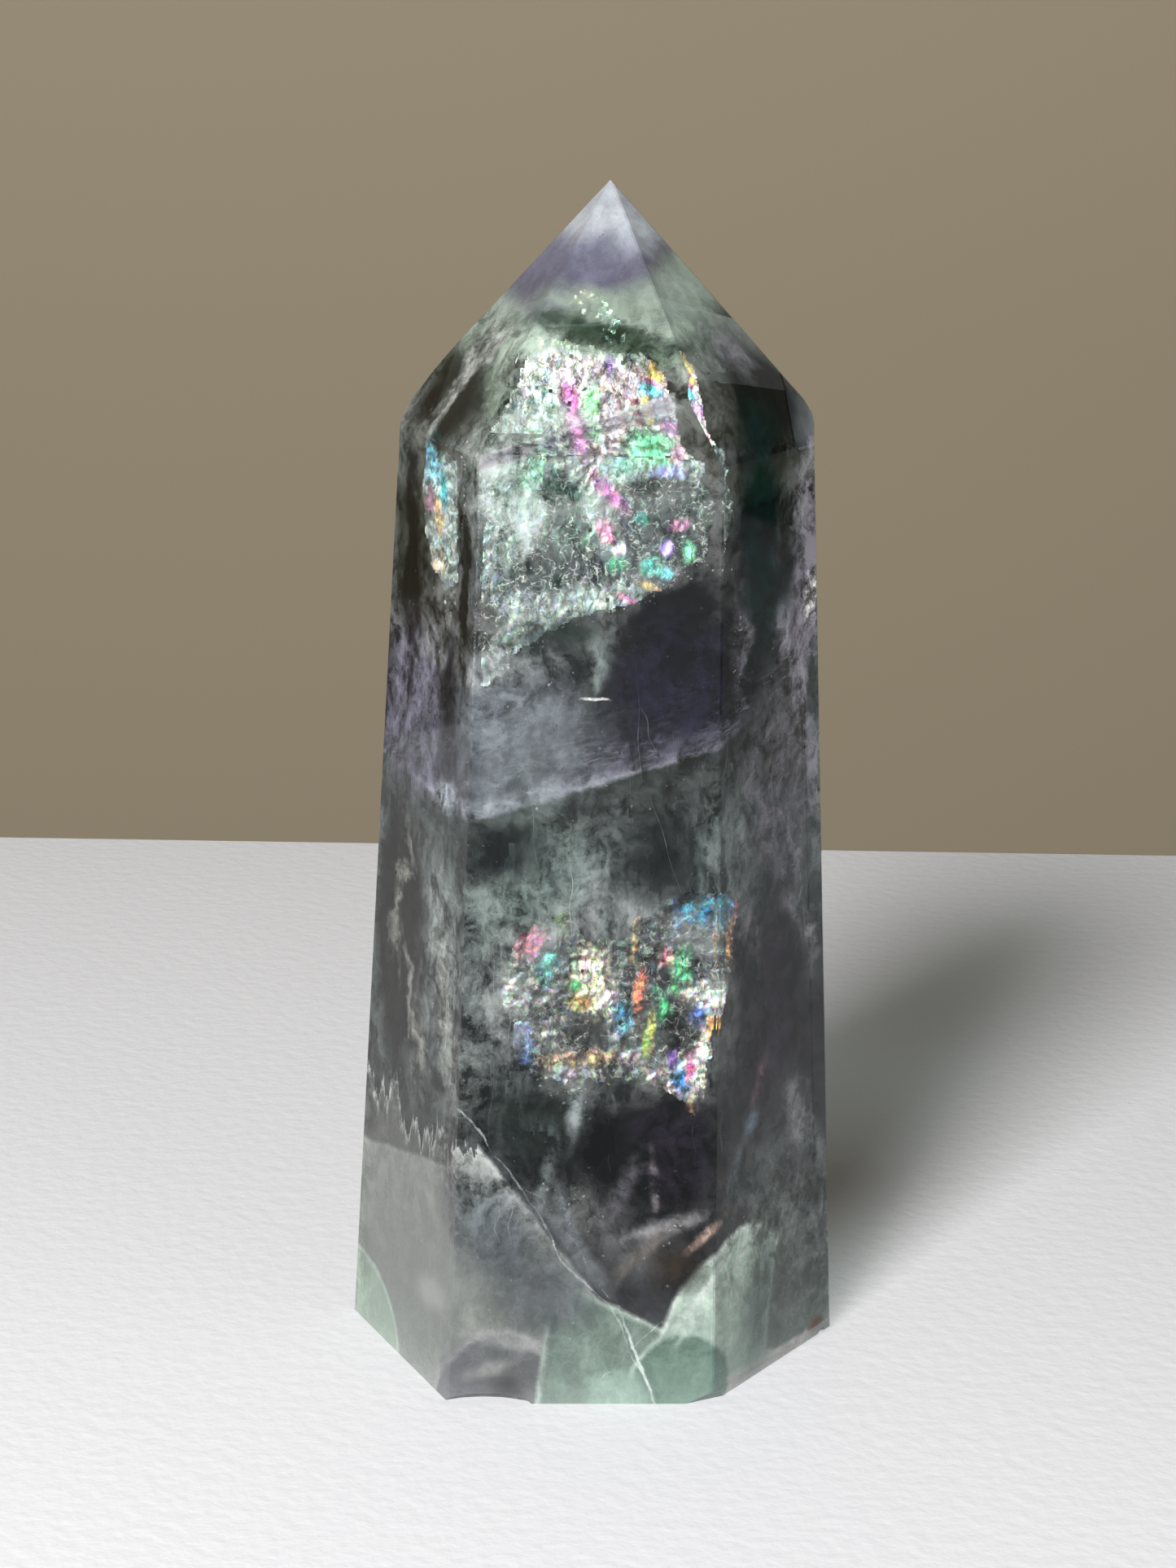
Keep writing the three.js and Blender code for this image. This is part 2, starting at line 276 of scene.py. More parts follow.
# Clouds that lie before the bodies: colour, milk, centre, reach, tilt, softness.
FOOT_CLOUDS = {
    "blue lavender": ("#676d71", 0.38, (-7.8, -16.5, 14.5), (3.2, 5, 6.0), -30, 0.8),
    "arch sheen": ("#a3a3a2", 0.5, (-7.0, -16.8, 5.6), (2.6, 3, 0.6), 8, 0.9),
    "arch shade": ("#6a6a6b", 0.4, (-6.4, -16.8, 2.6), (2.0, 3, 1.2), 0, 0.9),
    "arch left": ("#77757a", 0.4, (-10.6, -16.6, 2.4), (1.6, 3, 2.4), 0, 0.9),
    "crumbly grey": ("#5c5f5d", 0.36, (-1.0, -16, 16.5), (3.4, 4, 2.2), 40, 0.95),
    "shard glow": ("#67696b", 0.36, (3.6, -16, 12.8), (2.4, 4, 2.0), -30, 0.95),
    "brown haze": ("#40372f", 0.26, (7.0, -16, 12.2), (2.2, 4, 1.8), 0, 0.9),
    "grey arc": ("#838284", 0.42, (5.2, -16, 15.4), (3.8, 4, 0.6), -16, 0.95),
    "grey under it": ("#757a7d", 0.34, (-3.5, -16.5, 9.5), (3.2, 5, 3.0), -30, 0.8),
    "lens between the strands": ("#6d7174", 0.4, (-1.0, -16.5, 13.0), (0.8, 3, 4.2), -35, 0.6),
    "pale ragged patch": ("#a9aba8", 0.5, (-13.4, -13, 8.2), (2.0, 3.6, 1.2), -35, 0.6),
    "glassy wedge": ("#9db3a7", 0.52, (2.2, -16.6, 0.8), (2.4, 3, 1.9), 0, 0.5),
    "tongue streak": ("#ccd6cf", 0.52, (9.4, -15.6, 10.2), (0.3, 3, 3.2), 33, 0.9),
    "second tongue streak": ("#c3cec6", 0.5, (11.4, -13, 10.6), (0.3, 3, 3.0), 30, 0.9),
    "low tongue streak": ("#bccac0", 0.5, (8.6, -15.6, 7.4), (0.25, 3, 2.2), 36, 0.9),
    "strand over the wedge": ("#ccd6d0", 0.6, (3.9, -16.6, 3.8), (0.12, 3, 3.7), -20, 0.6),
    "spot in the arch": ("#9a9a98", 0.46, (-8.6, -16.8, 3.0), (1.6, 3, 0.5), -20, 0.9),
    "dark spot in the arch": ("#565658", 0.34, (-6.8, -16.8, 1.4), (1.2, 3, 0.9), 0, 0.9),
    "peach glint": ("#c2a798", 0.44, (9.4, -16, 15.0), (0.35, 3, 1.8), 48, 0.95),
    "tongue's shaded side": ("#75837d", 0.42, (14.2, -10.5, 6.4), (1.4, 4, 6.4), 6, 0.95),
    "smoke off the rainbow": ("#7d8384", 0.4, (-1.7, -15.8, 25.4), (0.5, 3, 2.4), 6, 0.95),
    "left feather": ("#696f70", 0.4, (-4.0, -15.9, 19.6), (0.5, 3, 3.0), 14, 0.95),
    "low feather": ("#70757a", 0.4, (-2.3, -15.9, 16.4), (0.4, 3, 2.4), -16, 0.95),
    "shard": ("#6d676e", 0.4, (4.9, -16, 18.9), (0.3, 3, 2.6), -6, 0.95),
    "second shard": ("#5c5a60", 0.34, (2.4, -16, 19.0), (0.7, 3, 2.6), 24, 0.95),
    "fan": ("#726c68", 0.4, (4.2, -16, 13.6), (0.5, 3, 3.0), 52, 0.95),
    "low fan": ("#6d6a66", 0.38, (3.0, -16, 12.2), (0.35, 3, 2.2), 34, 0.95),
    "blue ghost": ("#667884", 0.38, (12.9, -12, 23.2), (0.5, 3, 1.2), 10, 0.95),
    "rosy ghost": ("#7a6068", 0.34, (13.5, -11.5, 26.2), (0.35, 3, 1.8), 14, 0.95),
    "low blue ghost": ("#717e85", 0.36, (11.5, -13, 19.2), (0.4, 3, 1.8), 16, 0.95),
    "white dash": ("#e6e8ea", 0.85, (-0.6, -15, 59.8), (1.0, 3, 0.13), 3, 0.5),
    "brown stain": ("#6d4f38", 0.6, (19.4, -3.6, 1.6), (1.0, 1.4, 0.8), 0, 0.6),
}

# Where the milk is evener than elsewhere: centre, reach, tilt, softness, and how even it is.
EVEN_PLACES = {
    "tip": ((0, 0, 98), (20, 20, 11), 0, 0.2, 0.82),
    "foot": ((-3, -10, 1), (24, 24, 15), 0, 0.3, 0.74),
    "left foot": ((-16, -8, 12), (9, 12, 10.5), 0, 0.3, 0.8),
    "over the ledge": ((-5, -15, 55.5), (8, 6, 4.5), -16, 0.6, 0.62),
}
FACE_SHEEN = "#b0b4b6"  # dims what the faces mirror, as a thin smear of handling does
POLISH = 0.04  # roughness of the polished faces
SMOKE_TINT = "#b7c0bf"  # what a thick piece of the clear crystal does to the light
SMOKE_DENSITY = 105  # per metre
FINE_SWIRL = dict(grain=1.6, reach=0.35)  # mm, the waver in every border
BROAD_SWIRL = dict(grain=6, reach=2.4)  # mm, the billows of the clouds and bands
BORDER = 0.12  # mm, half the width over which a sharp border fades


def growth_bands(material, place):
    """The stone's colour and milk, band above band."""
    height = add(material, "VectorMath", {0: place, 1: BAND_LEAN}, operation="DOT_PRODUCT", out="Value")
    share = add(material, "MapRange", {"Value": height, "From Max": BANDS_TOP})
    bands = add(material, "ValToRGB", {"Fac": share}).node
    stops = bands.color_ramp.elements
    for foot, tint, milk in BANDS[1:-1]:
        stops.new(foot / BANDS_TOP)
    for stop, (foot, tint, milk) in zip(stops, BANDS):
        stop.position = foot / BANDS_TOP
        stop.color = (*linear(tint)[:3], milk)
    return bands.outputs["Color"], bands.outputs["Alpha"]


def lay_bodies(material, look, place):
    """Lays each sharp-bordered body over the look, with its paler rim."""
    torn = torn_upwards(material, place)
    for body in BODIES.values():
        depth = depth_in_body(material, place, body.get("planes", ()), body.get("egg"))
        if "torn" in body:
            ragged = depth_in_body(material, torn, body["torn"])
            depth = add(material, "Math", {0: depth, 1: ragged}, operation="MINIMUM")
        fade = {"Value": depth, "From Min": -BORDER, "From Max": BORDER}
        share = add(material, "MapRange", fade)
        look = lay_over(material, look, share, *body["look"])
        off = add(material, "Math", {0: depth}, operation="ABSOLUTE")
        rim = add(material, "MapRange", {"Value": off, "From Min": RIM, "From Max": 0.0})
        look = lay_over(material, look, rim, *body["rim"])
    return look


def polished_fluorite():
    """Fluorite, lapped flat and polished: clear glassy faces over cloudy green and violet growth bands, so
    the eye sees the colour hang inside the stone."""
    material = new_material("polished_fluorite")
    place = place_in_stone(material)
    near = drifting(material, place, **FINE_SWIRL)
    drift = drifting(material, near, **BROAD_SWIRL)

    look = growth_bands(material, near)
    for tint, milk, *egg in CLOUDS.values():
        look = lay_over(material, look, cloud(material, drift, *egg), tint, milk)
    look = lay_bodies(material, look, near)
    for tint, milk, *egg in FOOT_CLOUDS.values():
        look = lay_over(material, look, cloud(material, near, *egg), tint, milk)
    colour, milk = look

    pattern = mist_pattern(material, drift)
    for *egg, evenness in EVEN_PLACES.values():
        calm = cloud(material, near, *egg)
        calm = add(material, "Math", {0: calm, 1: evenness}, operation="MULTIPLY")
        pattern = add(material, "Mix", {0: calm, 2: pattern, 3: 1.0}, data_type="FLOAT")
    milk = add(material, "Math", {0: milk, 1: pattern}, operation="MULTIPLY")
    clarity = add(material, "Math", {0: 1.0, 1: milk}, operation="SUBTRACT", use_clamp=True)

    glass = add(
        material, "BsdfPrincipled",
        {
            "Base Color": colour,
            "Transmission Weight": clarity,
            "Roughness": POLISH,
            "IOR": FLUORITE_IOR,
            "Specular Tint": linear(FACE_SHEEN),
        },
    )
    lamps = add(material, "BsdfTransparent", {"Color": linear("#ffffff")})
    ray = add(material, "LightPath", out="Is Shadow Ray")
    surface = add(material, "MixShader", {0: ray, 1: glass, 2: lamps})
    smoke = add(material, "VolumeAbsorption", {"Color": linear(SMOKE_TINT), "Density": SMOKE_DENSITY})
    add(material, "OutputMaterial", {"Surface": surface, "Volume": smoke})
    return material


LEAST_MIST = 0.08  # left even where every layer of it runs out


def mist_pattern(material, drift):
    """How much thicker or thinner than its surroundings the milk is: clouds, upright threads and veins."""
    threads = add(
        material, "Mapping", {"Vector": drift, "Rotation": (0, math.radians(7), 0), "Scale": (1.3, 1.3, 0.16)}
    )
    # Where, grain in mm, detail, roughness, kind, the noise at which the mist starts and is full, strength.
    layers = [
        (drift, 2.6, 8, 0.72, "FBM", 0.42, 0.64, 2.3),
        (threads, 1.0, 5, 0.65, "FBM", 0.48, 0.74, 1.1),
        (drift, 5.0, 5, 0.5, "RIDGED_MULTIFRACTAL", 0.55, 0.95, 1.2),
    ]
    total = LEAST_MIST
    for where, grain, detail, rough, kind, low, high, strength in layers:
        noise_at = {"Vector": where, "Scale": 1 / grain, "Detail": detail, "Roughness": rough}
        mist = add(material, "TexNoise", noise_at, noise_type=kind, normalize=True)
        span = {"Value": mist, "From Min": low, "From Max": high, "To Max": strength}
        mist = add(material, "MapRange", span)
        total = add(material, "Math", {0: total, 1: mist}, operation="ADD")
    return total


FLAME_REACH = 4.5  # mm up and down


def torn_upwards(material, place):
    """The place, moved up or down by up to FLAME_REACH in narrow upright tongues, so that a level border
    tears into flames."""
    streak = add(material, "Mapping", {"Vector": place, "Scale": (0.36, 0.36, 0.035)})
    flame = add(material, "TexNoise", {"Vector": streak, "Scale": 1.0, "Detail": 6.0, "Roughness": 0.62})
    span = {"Value": flame, "From Min": 0.3, "From Max": 0.7, "To Min": -FLAME_REACH, "To Max": FLAME_REACH}
    lift = add(material, "MapRange", span)
    up = add(material, "CombineXYZ", {"Z": lift})
    return add(material, "VectorMath", {0: place, 1: up}, operation="SUBTRACT")


def depth_in_body(material, place, planes=(), egg=None):
    """How far inside the body a place lies, in millimetres; less than 0 outside it."""
    depth = None
    if egg:
        centre, reach, tilt = egg
        far = out_of_egg(material, place, centre, reach, tilt)
        inner = add(material, "Math", {0: 1.0, 1: far}, operation="SUBTRACT")
        depth = add(material, "Math", {0: inner, 1: min(reach)}, operation="MULTIPLY")
    for point, outside in planes:
        normal = Vector(outside).normalized()
        border = normal.dot(Vector(point))
        height = add(material, "VectorMath", {0: place, 1: normal}, operation="DOT_PRODUCT", out="Value")
        under = add(material, "Math", {0: border, 1: height}, operation="SUBTRACT")
        if depth is None:
            depth = under
        else:
            depth = add(material, "Math", {0: depth, 1: under}, operation="MINIMUM")
    return depth


# ---- Cracks inside the stone ----


def inside(outline, x, y):
    """True if the point lies inside the closed outline."""
    odd = False
    for (ax, ay), (bx, by) in zip(outline, outline[1:] + outline[:1]):
        if (ay > y) != (by > y) and x < (bx - ax) * (y - ay) / (by - ay) + ax:
            odd = not odd
    return odd


def facing_turn(facing):
    """The turn that lays a level sheet across facing, with its own y axis pointing up the stone."""
    normal = Vector(facing).normalized()
    across = Vector((0, 0, 1)).cross(normal).normalized()
    return Matrix((across, normal.cross(across), normal)).transposed()


TEARS_PER_MM = 1.3
HOLES_ACROSS, HOLES_UP, HOLES_IN = 1.2, 0.7, 5  # per mm across and up, and where in the noise they lie


def crack_sheet(name, centre, facing, outline, cell=0.2, tear=0.0, crumple=0.3, grain=0.9, holes=-1.0):
    """A crack: a level grid cut to its outline, torn by up to tear mm along its edge, crumpled, then stood
    up across facing at its centre. holes runs from -1, none, to 1, all gone."""
    xs, ys = [p[0] for p in outline], [p[1] for p in outline]
    wide, tall = max(xs) - min(xs), max(ys) - min(ys)
    bpy.ops.object.select_all(action="DESELECT")
    bpy.ops.mesh.primitive_grid_add(
        x_subdivisions=max(round(wide / cell), 2), y_subdivisions=max(round(tall / cell), 2), size=1
    )
    sheet = bpy.context.object
    sheet.name = name
    sheet.scale = (wide * MM, tall * MM, 1)
    sheet.location = ((max(xs) + min(xs)) / 2 * MM, (max(ys) + min(ys)) / 2 * MM, 0)
    bpy.ops.object.transform_apply(location=True, rotation=False, scale=True)
    bpy.ops.object.mode_set(mode="EDIT")
    bpy.ops.mesh.select_all(action="DESELECT")
    bpy.ops.object.mode_set(mode="OBJECT")
    for vertex in sheet.data.vertices:
        x, y = vertex.co.x / MM, vertex.co.y / MM
        push = noise.noise_vector(Vector((x, y, 0)) * TEARS_PER_MM) * tear
        worn = noise.fractal(Vector((x * HOLES_ACROSS, y * HOLES_UP, HOLES_IN)), 0.6, 2.0, 4) < holes
        vertex.select = worn or not inside(outline, x + push.x, y + push.y)
    bpy.ops.object.mode_set(mode="EDIT")
    bpy.ops.mesh.select_mode(type="VERT")
    bpy.ops.mesh.delete(type="VERT")
    bpy.ops.object.mode_set(mode="OBJECT")
    texture = bpy.data.textures.new(name, "CLOUDS")
    texture.noise_scale = grain * MM
    texture.noise_depth = 3
    dent = sheet.modifiers.new("crumple", "DISPLACE")
    dent.texture = texture
    dent.strength = crumple * MM
    bpy.ops.object.modifier_apply(modifier=dent.name)
    sheet.rotation_euler = facing_turn(facing).to_euler()
    sheet.location = Vector(centre) * MM
    bpy.ops.object.transform_apply(location=True, rotation=True, scale=False)
    bpy.ops.object.shade_smooth()
    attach(sheet, "root")
    return sheet


# Cracks, each on a plane of its own: the plane's centre and the way it faces, and the crack's outline
# across and up that plane.
FRONT_CRACK = dict(
    centre=(0, -9, 72), facing=(-0.06, -1, 0.28), cell=0.16, tear=0.35, crumple=0.09, grain=0.6,
    outline=[
        (7.0, 6.6), (7.6, 6.0), (7.5, 4.6), (8.6, 3.4), (8.1, -1.5), (6.0, -3.0), (4.5, -4.4), (2.0, -5.5),
        (-1.5, -6.5), (-3.8, -7.5), (-5.6, -8.7), (-7.0, -9.9), (-7.4, -11.1), (-9.6, -12.4),
        (-9.9, -8.0), (-9.8, 5.7), (-9.2, 6.6),
    ],
)
# The same crack above the shoulder, where it leans back.
CRACK_TOP = dict(
    centre=(0, -7.15, 78.3), facing=(-0.1, -0.88, 0.44), cell=0.16, tear=0.35, crumple=0.09, grain=0.6,
    outline=[
        (-5.9, 8.5), (-2.8, 8.1), (-0.2, 7.3), (2.8, 7.0), (4.1, 6.3), (5.0, 4.6), (5.4, 3.0),
        (6.0, 0.9), (7.0, -0.2), (-9.2, -0.2), (-7.8, 2.4),
    ],
)
LEFT_CRACK = dict(
    centre=(-11.5, -3.5, 72), facing=(-0.45, -0.87, 0.23), tear=0.4, crumple=0.14,
    outline=[
        (-2.1, 6.4), (2.7, 5.1), (3.2, 0), (3.4, -5.0), (2.8, -7.8), (2.0, -9), (1.1, -5.3), (-0.8, -3.9),
        (-2.3, -0.4), (-2.5, 2.9),
    ],
)

# Rainbow cracks in the middle, on one plane under the front face.
MIDDLE_PLANE = dict(centre=(0, -11.6, 36), facing=(-0.08, -0.95, 0.27), cell=0.13, crumple=0.13, grain=0.8)
MIDDLE_OUTLINE = [
    (-8.2, -1.0), (-7.0, 3.0), (-5.0, 4.6), (-2.6, 5.6), (-1.0, 3.0), (2.0, 3.4), (3.0, 5.4), (4.4, 5.0),
    (5.6, 7.2), (9.9, 7.5), (10.5, 6.9), (10.4, 0.0), (10.0, -2.3), (9.7, -4.0), (8.9, -10.5), (8.4, -11.6),
    (7.4, -10.7), (6.0, -9.3), (4.6, -8.9), (3.6, -8.8), (2.5, -8.3), (1.3, -8.9), (-0.3, -8.7),
    (-1.9, -10.1), (-2.8, -8.9), (-5.2, -8.3), (-6.8, -7.0), (-7.0, -4.0), (-8.0, -3.0),
]
# Small films elsewhere: centre, facing, outline.
OTHER_FILMS = {
    "tip_film": dict(
        centre=(0, -5.6, 88.6), facing=(-0.1, -0.9, 0.48),
        outline=[
            (-3.5, 2.1), (-1.8, 2.4), (0.1, 1.2), (1.4, -0.9), (1.6, -2.6), (0.3, -2.6), (-0.3, -1.0),
            (-2.0, -0.3), (-2.8, 0.8),
        ],
    ),
    "left_film": dict(
        centre=(-13.8, -7.4, 42.7), facing=(-0.7, -0.7, 0.1),
        outline=[(-0.6, -1.2), (0.6, -0.8), (0.7, 0.9), (0.0, 1.3), (-0.7, 0.4)],
    ),
}
NIB_CRACK = dict(
    centre=(-11.9, -10.6, 50.6), facing=(-0.898, -0.44, 0.03), tear=0.5,
    outline=[(-2.6, 2.2), (2.4, 1.4), (2.2, -1.4), (0.6, -2.6), (-1.2, -0.4)],
)
SILVER_CRACKS = {
    "front_crack": FRONT_CRACK,
    "front_crack_top": CRACK_TOP,
    "left_crack": LEFT_CRACK,
    "nib_crack": NIB_CRACK,
}

# Where the air film is thin enough to colour the light: colour, centre, reach, tilt, softness. A film
# stands nearly upright, so only how far across and up a patch lies is given.
SILVER_COLOURS = {
    "cream": ("#c6c4bd", (-4.5, 84.5), (4.5, 3.0), 0, 0.5),
    "haze": ("#b4b2be", (-6.8, 79.4), (1.6, 2.6), 20, 0.6),
    "green white": ("#b8d0c4", (-4.5, 79.9), (1.0, 2.0), 0, 0.7),
    "soft silver": ("#7d8985", (-6.5, 73.0), (3.6, 6.0), 0, 0.6),
    "pastel": ("#b9a0a8", (0.4, 79.6), (2.6, 4.4), -14, 0.8),
    "magenta": ("#d66fbc", (-2.4, 80.4), (0.7, 2.2), -14, 0.7),
    "leaf": ("#7fdc92", (-0.9, 80.8), (0.6, 1.2), 0, 0.6),
    "purple": ("#8a65b8", (0.5, 83.8), (0.4, 0.6), 0, 0.5),
    "rainbow corner": ("#c2aab4", (3.6, 82.6), (2.2, 2.6), 10, 0.6),
    "gold": ("#f2c95a", (4.2, 83.2), (0.8, 1.0), 20, 0.6),
    "rose": ("#e0629f", (3.8, 82.4), (0.8, 0.3), 20, 0.5),
    "sky": ("#66cdea", (3.8, 81.8), (0.9, 0.5), 20, 0.6),
    "lemon": ("#f2e46a", (3.3, 81.0), (0.35, 0.35), 0, 0.5),
    "wine": ("#8c2f5c", (2.6, 80.8), (0.4, 0.4), 0, 0.5),
    "pink": ("#e88ad0", (4.9, 80.3), (0.9, 0.6), 0, 0.5),
    "bright green": ("#62dc94", (3.6, 78.9), (2.0, 1.3), 10, 0.7),
    "pale pink": ("#f0b6d7", (5.6, 78.6), (0.6, 0.9), 0, 0.6),
    "violet blue": ("#9d9be6", (4.8, 77.0), (1.3, 0.5), 0, 0.6),
    "aqua": ("#8fc8bf", (1.2, 77.4), (1.4, 1.0), 0, 0.8),
    "lower smoke": ("#293432", (4.6, 71.8), (4.4, 4.8), 0, 0.5),
    "right edge": ("#343f3a", (8.2, 72.5), (1.0, 6.0), 0, 0.4),
    "dark pocket": ("#1d2824", (4.3, 75.9), (3.0, 0.8), -4, 0.3),
    "magenta sash": ("#d878bf", (0.2, 75.4), (0.6, 1.9), -42, 0.6),
    "green window": ("#12322a", (-3.5, 74.5), (1.4, 2.9), -16, 0.4),
    "green window below": ("#294639", (-2.3, 71.8), (1.1, 2.0), -20, 0.6),
    "rosy": ("#e88ab4", (0.0, 72.4), (0.6, 0.9), -30, 0.6),
    "white blob": ("#ffffff", (0.9, 71.0), (0.6, 0.6), 0, 0.4),
    "teal dot": ("#2fa08c", (2.8, 73.4), (0.6, 0.5), 20, 0.6),
    "pink dot": ("#e59acb", (5.8, 73.0), (0.7, 0.4), -30, 0.6),
    "mint dot": ("#7fd8a8", (6.6, 71.0), (0.5, 0.8), 10, 0.6),
    "violet dot": ("#a88ae0", (4.9, 71.2), (0.5, 0.5), 0, 0.6),
    "low gold": ("#f0c070", (3.6, 68.2), (0.9, 0.3), 25, 0.6),
    "low pink": ("#e88ac0", (1.9, 67.2), (0.9, 0.3), 25, 0.6),
    "low sky": ("#7fd0e8", (5.0, 69.2), (0.6, 0.4), 25, 0.6),
    "left mint": ("#9fdcb8", (-6.0, 77.0), (0.7, 1.6), 20, 0.7),
    "emerald": ("#3fb87f", (0.6, 69.8), (1.0, 0.6), 0, 0.6),
    "sea": ("#55c4aa", (3.8, 69.8), (0.8, 0.7), 0, 0.6),
    "tail grey": ("#6f7975", (-7.6, 63.4), (2.4, 3.0), 0, 0.6),
    "dark teal": ("#0a211d", (-5.0, 69.1), (3.6, 2.0), -8, 0.45),
    "dark smoke": ("#2f3539", (-0.9, 69.4), (1.8, 1.4), -20, 0.6),
    "left azure": ("#7fc4dc", (-12.2, 76.5), (1.2, 2.0), 0, 0.6),
    "left rose": ("#e88ab8", (-12.4, 73.4), (0.7, 1.2), 10, 0.5),
    "left gold": ("#f0c070", (-11.2, 72.6), (0.6, 1.6), 0, 0.5),
    "left cyan": ("#46c8d8", (-10.6, 74.2), (0.6, 1.4), 0, 0.5),
    "left cream": ("#d8cdb4", (-11.6, 68.6), (1.4, 1.0), 0, 0.4),
    "left spark": ("#5aa8e0", (-13.8, 43.2), (1.4, 0.8), 0, 0.6),
    "left spark below": ("#e0709a", (-13.8, 42.0), (1.4, 0.6), 0, 0.6),
    "tip gold": ("#f0c890", (-2.2, 90.2), (0.8, 0.8), 0, 0.6),
    "tip green": ("#b8e0cc", (0.4, 88.8), (1.2, 0.8), 0, 0.6),
    "left smoke": ("#3c3f38", (-10.2, 65.0), (2.4, 2.4), 0, 0.4),
}
RAINBOW_COLOURS = {
    "grey left": ("#737876", (-6.0, 34.0), (2.6, 5.0), 0, 0.75),
    "left glitter": ("#e8e6e0", (-7.2, 34.6), (0.5, 1.4), 10, 0.75),
    "rose patch": ("#df7396", (-5.6, 38.6), (1.3, 1.2), 0, 0.75),
    "lime": ("#abd066", (-3.2, 40.4), (0.6, 0.9), 0, 0.75),
    "cyan": ("#5cc2bb", (-4.2, 37.0), (0.7, 1.4), 10, 0.75),
    "blue left": ("#647fb9", (-6.0, 30.4), (0.8, 1.6), 0, 0.75),
    "white gold": ("#fff4dc", (-0.4, 35.4), (1.4, 2.6), -12, 0.60),
    "rosy tip": ("#f3c0cf", (-1.0, 37.0), (0.4, 0.8), 0, 0.75),
    "leaf": ("#62c078", (-1.8, 35.2), (0.5, 0.5), 0, 0.65),
    "sunny": ("#f0cc69", (-1.3, 34.0), (0.9, 0.6), 0, 0.65),
    "white cheek": ("#f4f0e6", (0.9, 33.6), (0.6, 1.6), 0, 0.65),
    "gem shade": ("#0c0b0a", (-0.9, 31.8), (1.8, 1.0), 0, 0.55),
    "scarlet": ("#e8855f", (3.4, 34.9), (0.45, 1.5), 6, 0.75),
    "gold stripe": ("#a3906a", (2.9, 39.2), (0.3, 2.2), 4, 0.75),
    "azure drop": ("#58b4d4", (2.0, 32.8), (0.7, 1.2), 0, 0.65),
    "yellow green": ("#c8d959", (4.2, 31.6), (0.4, 1.8), 8, 0.65),
    "rose stripe": ("#c2808a", (5.6, 37.7), (0.6, 0.7), 20, 0.8),
    "green film": ("#5ab986", (6.7, 36.8), (0.8, 1.6), 20, 0.75),
    "pocket": ("#060a09", (5.2, 36.0), (1.0, 0.9), 0, 0.55),
    "jade": ("#4cc786", (5.2, 33.8), (0.6, 1.2), -20, 0.65),
    "shadow slope": ("#0a0a0b", (6.4, 33.0), (0.7, 2.6), 30, 0.65),
    "azure": ("#48b2dc", (8.2, 41.6), (1.7, 1.0), 0, 0.65),
    "azure left": ("#4b85b8", (6.4, 41.2), (0.5, 1.2), 0, 0.65),
    "rust": ("#b98764", (9.9, 39.2), (0.5, 1.6), 0, 0.75),
    "crimson": ("#ce4c74", (10.3, 41.9), (0.3, 1.1), 0, 0.65),
    "white strand": ("#fffaf0", (8.9, 29.6), (0.8, 5.2), 6, 0.5),
    "white top": ("#fffaf0", (8.3, 34.8), (1.1, 0.9), 0, 0.65),
    "navy": ("#2c408a", (8.3, 33.2), (0.7, 0.8), 0, 0.65),
    "amber": ("#eead59", (9.3, 32.2), (0.4, 0.9), 0, 0.65),
    "shade": ("#080709", (7.1, 31.2), (0.9, 1.4), 0, 0.65),
    "hook white": ("#fff8ec", (6.9, 27.2), (2.1, 2.3), 10, 0.4),
    "deep blue": ("#3f99e5", (6.9, 28.0), (0.75, 1.2), -15, 0.6),
    "plum": ("#b84e85", (7.6, 28.8), (0.35, 1.2), 0, 0.65),
    "violet fleck": ("#9063c8", (6.2, 29.6), (0.4, 0.8), 0, 0.65),
    "amber rim": ("#f1cd9b", (8.0, 25.6), (0.8, 0.8), 0, 0.65),
    "brown gold": ("#ba9c74", (-2.6, 29.2), (3.2, 0.7), -6, 0.75),
    "slate": ("#546fa1", (-5.6, 29.0), (0.7, 0.8), 0, 0.65),
    "grey crumbs": ("#a3a6a4", (-2.0, 27.4), (2.8, 1.1), 0, 0.75),
    "cone light": ("#959896", (2.2, 30.2), (0.4, 2.2), -35, 0.75),
    "cone right": ("#808280", (3.6, 29.0), (0.4, 2.2), -20, 0.75),
}
# One turn through the colours of a thin film, as it thickens.
FILM_ORDER = [
    "#f4f0e6", "#f2cc80", "#e0708c", "#b86cd0", "#6c80e0", "#5cc8d8", "#74dc90", "#e8ec98", "#f4f0e6",
]
FILM_TURNS = 6  # from where the film is thinnest to where it is thickest
FILM_GRAIN = 1.4  # mm, how far apart thin and thick places lie
FILM_SWIRL = dict(grain=1.1, reach=0.5)  # mm
FILM_COMB = dict(Rotation=(0, 0.2, 0), Scale=(1.0, 1.0, 0.5))  # its crumbs are taller than wide and lean
CRUMB_SIZE = 0.55  # mm, the film's crumbs, each with a colour of its own and a brightness of its own, which is painted sparkle
SEAM = 0.09  # in crumbs, how wide the darker seams of painted shade between them are
CREASE = 1.1  # mm between creases, which painted shade darkens
WRINKLE = dict(grain=1.3, width=0.022)  # fine dark lines of painted shade, grain in mm
GLINT = dict(grain=1.0, width=0.025)  # fine bright lines of painted glint
GRIT = 0.35  # mm, the finest roughness of the film that still shows
ALL_THE_WAY_IN = 99  # mm, the reach of a colour patch into the stone


def contour_lines(material, place, grain, width):
    """0 along wandering lines about grain mm apart, 1 between them."""
    swirl = add(material, "TexNoise", {"Vector": place, "Scale": 1 / grain, "Detail": 2.0, "Distortion": 0.8})
    off = add(material, "Math", {0: swirl, 1: 0.5}, operation="SUBTRACT")
    off = add(material, "Math", {0: off}, operation="ABSOLUTE")
    fade = {"Value": off, "From Max": width}
    return add(material, "MapRange", fade, interpolation_type="SMOOTHSTEP")


